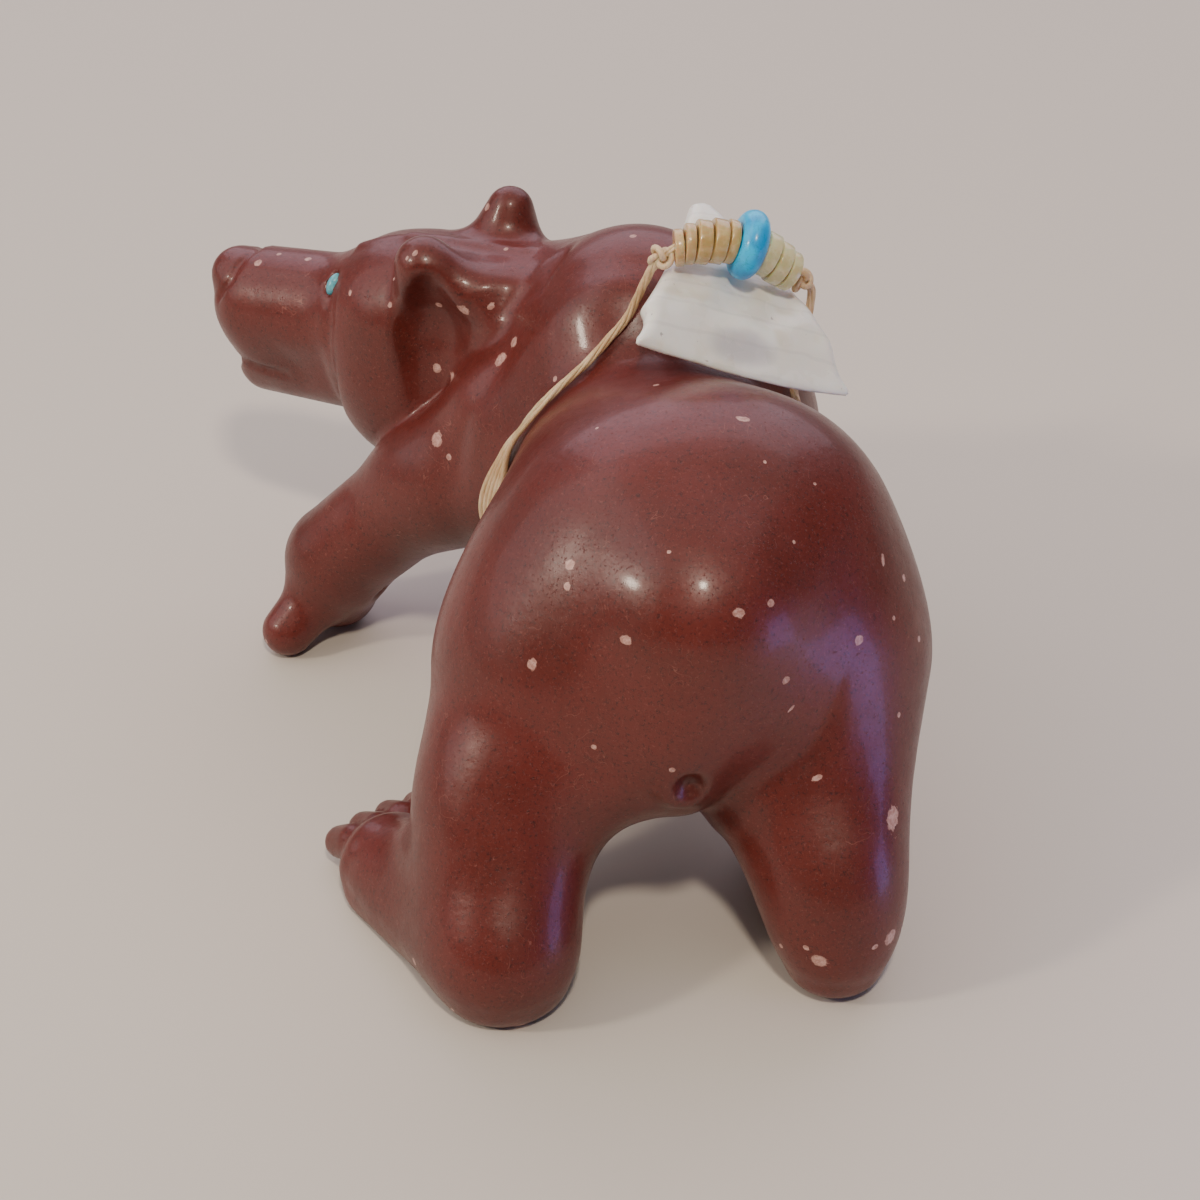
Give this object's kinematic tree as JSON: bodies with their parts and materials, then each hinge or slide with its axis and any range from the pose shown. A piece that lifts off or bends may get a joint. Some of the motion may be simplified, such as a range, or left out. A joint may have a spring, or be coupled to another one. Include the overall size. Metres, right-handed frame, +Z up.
{
  "type": "carved stone bear fetish with offering bundle",
  "caption": "Small walking bear carved in red pipestone, head turned left, with turquoise eyes and a shell arrowhead and disc beads tied on its back with sinew.",
  "frame": {"origin": "on the ground under the middle of the part's outer box", "axes": "+Z up, +Y the way the bear walks, so +X is its right side; its head is turned to its left, towards -X"},
  "size_m": [0.0686, 0.0828, 0.0541],
  "materials": {
    "pipestone": "polished dark red stone with small pale flecks",
    "turquoise": "polished sky-blue stone",
    "white_shell": "ground and polished white shell",
    "tan_shell": "polished tan shell",
    "amber_shell": "polished amber shell, a little translucent",
    "pale_shell": "polished pale yellow-green shell",
    "sinew": "waxed split sinew, dull"
  },
  "bodies": {
    "root": {"bear": "pipestone", "eye_left": "turquoise", "eye_right": "turquoise", "arrowhead": "white_shell", "turquoise_bead": "turquoise", "sinew": "sinew", "shell_bead_1": "tan_shell", "shell_bead_2": "tan_shell", "shell_bead_3": "amber_shell", "shell_bead_4": "amber_shell", "shell_bead_5": "amber_shell", "shell_bead_6": "pale_shell", "shell_bead_7": "pale_shell", "shell_bead_8": "pale_shell"}
  },
  "joints": []
}
